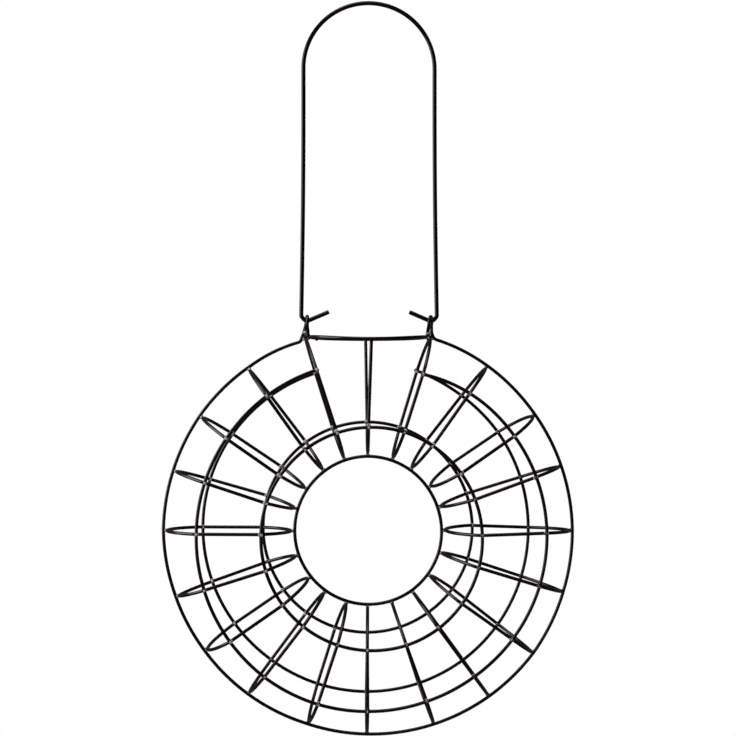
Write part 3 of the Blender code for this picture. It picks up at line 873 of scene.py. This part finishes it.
def powder_coat(name, look, contacts=(), rub_strength=0.0, highlight_reach=None):
    """Gloss powder coat with orange peel, rubbed thin at the contacts (side, height), or with painted
    highlight patches on welds.
    """
    if name in bpy.data.materials:
        return bpy.data.materials[name]
    material, tree, shader = new_material(name)
    grain = shared(tree, "Powder grain", powder_grain, {
        "Peel Size": look.peel_size, "Cloud Size": look.cloud_size, "Fleck Size": look.fleck_size})
    tint = mixed(tree, grain["Cloud"], look.dark, look.light)
    tint = mixed(tree, computed(tree, "MULTIPLY", grain["Fleck"], look.fleck_strength), tint, look.fleck)
    roughness = computed(tree, "MULTIPLY_ADD", grain["Cloud"], look.thin_roughness, look.roughness)
    if highlight_reach:
        patches = shared(tree, "Weld patches", weld_highlight_patches, {
            "Patch Size": look.highlight_patch_size, "Lower": highlight_reach[0], "Upper": highlight_reach[1]})
        # Painted highlights: pale patches on the welds, more of them at the upper left where the light falls
        tint = mixed(tree, patches["Mask"], tint, look.weld)
    rub = None
    for side, height in contacts:
        mask = shared(tree, "Rubbed spot", rubbed_spot, {
            "Side": side, "Height": height, "Reach": look.rub_reach, "Wear Size": look.wear_size})["Mask"]
        rub = computed(tree, "MAXIMUM", rub, mask) if rub else mask
    if rub:
        rub = computed(tree, "MULTIPLY", rub, rub_strength)
        tint = mixed(tree, rub, tint, look.steel)
        roughness = computed(tree, "MULTIPLY_ADD", rub, look.rub_roughness, roughness)
        fill(tree, shader["Metallic"], rub)
    bump = tree.nodes.new("ShaderNodeBump")
    bump.inputs["Distance"].default_value = look.peel_depth
    fill(tree, bump.inputs["Height"], grain["Height"])
    fill(tree, shader["Base Color"], tint)
    fill(tree, shader["Roughness"], roughness)
    fill(tree, shader["Normal"], bump.outputs["Normal"])
    shader["Specular IOR Level"].default_value = look.specular
    shader["Specular Tint"].default_value = (*look.tint, 1.0)
    return material


def eye_contact(context):
    """Where the hooks rub in the eyes: how far to each side, and how high."""
    return mouth_tip(context.scene.feeder_cage)[0], HINGE_Z + context.scene.feeder_handle.wire_radius


def cage_coat(context):
    """The coat of the cage's wires, rubbed inside the eyes."""
    look = context.scene.feeder_coat
    return powder_coat("cage_powder_coat", look, [eye_contact(context)], look.eye_rub)


def handle_coat(context):
    """The coat of the handle, rubbed in the hooks and where it hangs."""
    look = context.scene.feeder_coat
    return powder_coat("handle_powder_coat", look, [eye_contact(context), (0.0, 0.0)], look.handle_rub)


def bead_coat_and_highlights(context):
    """The coat on the weld beads, with painted highlight patches, more of them at the upper left."""
    cage = context.scene.feeder_cage
    reach = cage.centre_z - cage.outer_radius, cage.centre_z + cage.outer_radius
    return powder_coat("bead_powder_coat", context.scene.feeder_coat, highlight_reach=reach)


# Operators


class FEEDER_OT_handle(Operator):
    """Make the long handle with its two hooks"""
    bl_idname = "feeder.handle"
    bl_label = "Handle"

    def execute(self, context):
        cage, handle = context.scene.feeder_cage, context.scene.feeder_handle
        wire = draw_wire(handle_route(cage, handle), handle.wire_radius, handle.wire_sides)
        finished(wire, "handle_wire", handle_coat(context), "handle", "handle")
        return {"FINISHED"}


class FEEDER_OT_outer_ring(Operator):
    """Make the ring round the outside with the eyes bent from its ends"""
    bl_idname = "feeder.outer_ring"
    bl_label = "Outer ring and eyes"

    def execute(self, context):
        add_cage_wires(context, ["outer_ring"])
        return {"FINISHED"}


class FEEDER_OT_inner_rings(Operator):
    """Make the closed rings: the one round the centre hole and the two on the sides"""
    bl_idname = "feeder.inner_rings"
    bl_label = "Inner rings"

    def execute(self, context):
        add_cage_wires(context, ["inner_ring", *INNER_SIDE_RINGS])
        return {"FINISHED"}


class FEEDER_OT_outer_side_rings(Operator):
    """Make the two side rings that end at the mouth"""
    bl_idname = "feeder.outer_side_rings"
    bl_label = "Outer side rings"

    def execute(self, context):
        add_cage_wires(context, OUTER_SIDE_RINGS)
        return {"FINISHED"}


class FEEDER_OT_hoops(Operator):
    """Make the closed hoops round the tube"""
    bl_idname = "feeder.hoops"
    bl_label = "Hoops"

    def execute(self, context):
        add_cage_wires(context, HOOP_NAMES)
        return {"FINISHED"}


class FEEDER_OT_mouth(Operator):
    """Make the mouth: its round rim and the open hoop under it"""
    bl_idname = "feeder.mouth"
    bl_label = "Mouth"

    def execute(self, context):
        add_cage_wires(context, ["mouth_hoop", "mouth_ring"])
        return {"FINISHED"}


class FEEDER_OT_beads(Operator):
    """Make the weld beads where the wires cross"""
    bl_idname = "feeder.beads"
    bl_label = "Weld beads"

    def execute(self, context):
        cage, handle = context.scene.feeder_cage, context.scene.feeder_handle
        sizes = context.scene.feeder_beads
        chance = Random(sizes.seed)
        wires = {name: finely(*route) for name, route in cage_routes(cage, handle).items()}
        closed_hoops = [wires[name] for name in HOOP_NAMES]
        all_hoops = closed_hoops + [wires["mouth_hoop"]]
        for name, hoops, rings in (
                ("outer_ring_welds", closed_hoops, ["outer_ring"]),
                ("inner_ring_welds", all_hoops, ["inner_ring"]),
                ("outer_side_welds", closed_hoops, OUTER_SIDE_RINGS),
                ("inner_side_welds", all_hoops, INNER_SIDE_RINGS)):
            beads = bmesh.new()
            for ring in rings:
                for hoop in hoops:
                    add_crossing_bead(beads, sizes, chance, hoop, wires[ring])
                    if "side" in name:
                        add_marks(beads, sizes, chance, cage.wire_radius, hoop, wires[ring])
            finished(beads, name, bead_coat_and_highlights(context), "cage")
        add_mouth_beads(context, chance, wires)
        return {"FINISHED"}


class FEEDER_OT_stage(Operator):
    """Set up the floor, the backdrop, the lamps and the camera"""
    bl_idname = "feeder.stage"
    bl_label = "Stage"

    def execute(self, context):
        cage, look = context.scene.feeder_cage, context.scene.feeder_studio
        target = Vector((cage.centre_x + look.target_side, 0.0, cage.centre_z + look.target_rise))
        add_camera(context, look, target)
        add_floor(look)
        add_room(context, look)
        add_lamps(target)
        context.scene.view_settings.view_transform = "Standard"
        return {"FINISHED"}


# Studio


def add_camera(context, look, target):
    """The camera at the photograph's angle."""
    away = Vector((sin(look.azimuth) * cos(look.elevation), -cos(look.azimuth) * cos(look.elevation),
                   sin(look.elevation)))
    data = bpy.data.cameras.new("camera")
    data.lens = look.focal_length
    camera = bpy.data.objects.new("camera", data)
    camera.location = target + away * look.distance
    camera.rotation_euler = (-away).to_track_quat("-Z", "Y").to_euler()
    context.scene.collection.objects.link(camera)
    context.scene.camera = camera


def seen_directly(tree, mirrored):
    """1 for rays from the camera and through glass, a share for reflections, 0 for other light."""
    path = tree.nodes.new("ShaderNodeLightPath").outputs
    direct = computed(tree, "MAXIMUM", path["Is Camera Ray"], path["Is Transmission Ray"])
    return computed(tree, "MAXIMUM", direct, computed(tree, "MULTIPLY", path["Is Glossy Ray"], mirrored))


def add_floor(look):
    """A pale floor that takes the feeder's shadow and fades into the backdrop."""
    disc = bmesh.new()
    bmesh.ops.create_circle(disc, cap_ends=True, segments=FLOOR_SIDES, radius=look.floor_size,
                            matrix=Matrix.Translation((0.0, 0.0, CAD_BOX[0][2] - look.floor_drop)))
    material, tree, shader = new_material("floor_paper")
    split = coordinates(tree)[1]
    squares = computed(tree, "MULTIPLY", split["X"], split["X"])
    away = computed(tree, "SQRT", computed(tree, "MULTIPLY_ADD", split["Y"], split["Y"], squares))
    faded = smooth_step(tree, away, look.floor_radius, look.floor_radius + look.floor_fade)
    glossy = tree.nodes.new("ShaderNodeLightPath").outputs["Is Glossy Ray"]
    near = mixed(tree, glossy, (look.floor_albedo,) * 3, (look.mirror_light,) * 3)
    fill(tree, shader["Base Color"], mixed(tree, faded, near, BLACK))
    glow = computed(tree, "MULTIPLY_ADD", faded, 1 - look.floor_glow, look.floor_glow)
    glow = computed(tree, "MULTIPLY", glow, seen_directly(tree, look.mirror_light))
    fill(tree, shader["Emission Strength"], glow)
    shader["Emission Color"].default_value = WHITE
    shader["Roughness"].default_value = look.floor_roughness
    shader["Specular IOR Level"].default_value = 0.0
    placed(disc, "floor", material)


def add_room(context, look):
    """A white backdrop, which lights the feeder only gently and is dim in front of it."""
    world = bpy.data.worlds.new("room")
    world.use_nodes = True
    tree = world.node_tree
    background = tree.nodes["Background"].inputs
    background["Color"].default_value = WHITE
    split = tree.nodes.new("ShaderNodeSeparateXYZ")
    fill(tree, split.inputs[0], tree.nodes.new("ShaderNodeTexCoord").outputs["Generated"])
    behind = smooth_step(tree, split.outputs["Y"], *BACKDROP_LIMITS)
    mirrored = computed(tree, "MULTIPLY_ADD", behind, look.mirror_light - look.front_light, look.front_light)
    lighting = computed(tree, "MULTIPLY_ADD", seen_directly(tree, 1.0), -look.room_light, look.room_light)
    fill(tree, background["Strength"], computed(tree, "ADD", lighting, seen_directly(tree, mirrored)))
    context.scene.world = world


def add_lamps(target):
    """A broad softbox at the left and one above."""
    for name, (offset, width, height, power) in LAMPS.items():
        data = bpy.data.lights.new(name, "AREA")
        data.shape = "RECTANGLE"
        data.size, data.size_y = width, height
        data.energy = power
        lamp = bpy.data.objects.new(name, data)
        lamp.location = target + Vector(offset)
        lamp.rotation_euler = (-Vector(offset)).to_track_quat("-Z", "Y").to_euler()
        lamp.visible_camera = False
        bpy.context.scene.collection.objects.link(lamp)


# Panel and registration


class FEEDER_PT_panel(Panel):
    """Builds the feeder piece by piece"""
    bl_idname = "FEEDER_PT_panel"
    bl_label = "Wire suet feeder"
    bl_space_type = "VIEW_3D"
    bl_region_type = "UI"
    bl_category = "Feeder"

    def draw(self, context):
        layout = self.layout
        for operator in OPERATORS:
            layout.operator(operator.bl_idname)
        for attribute in SETTINGS:
            box = layout.box()
            group = getattr(context.scene, attribute)
            for name in group.bl_rna.properties.keys():
                if name not in ("rna_type", "name"):
                    box.prop(group, name)


SETTINGS = {
    "feeder_cage": CageSizes,
    "feeder_handle": HandleSizes,
    "feeder_beads": BeadSizes,
    "feeder_coat": CoatLook,
    "feeder_studio": StudioLook,
}
OPERATORS = (FEEDER_OT_handle, FEEDER_OT_outer_ring, FEEDER_OT_inner_rings, FEEDER_OT_outer_side_rings,
             FEEDER_OT_hoops, FEEDER_OT_mouth, FEEDER_OT_beads, FEEDER_OT_stage)
CLASSES = (*SETTINGS.values(), *OPERATORS, FEEDER_PT_panel)


def register():
    """Register the settings, the operators and the panel."""
    for kind in CLASSES:
        bpy.utils.register_class(kind)
    for attribute, group in SETTINGS.items():
        setattr(bpy.types.Scene, attribute, PointerProperty(type=group))


def unregister():
    """Undo what register does."""
    for attribute in SETTINGS:
        delattr(bpy.types.Scene, attribute)
    for kind in reversed(CLASSES):
        bpy.utils.unregister_class(kind)


def main():
    """Build everything in order."""
    register()
    bpy.ops.feeder.handle()
    bpy.ops.feeder.outer_ring()
    bpy.ops.feeder.inner_rings()
    bpy.ops.feeder.outer_side_rings()
    bpy.ops.feeder.hoops()
    bpy.ops.feeder.mouth()
    bpy.ops.feeder.beads()
    bpy.ops.feeder.stage()


if __name__ == "__main__":
    main()
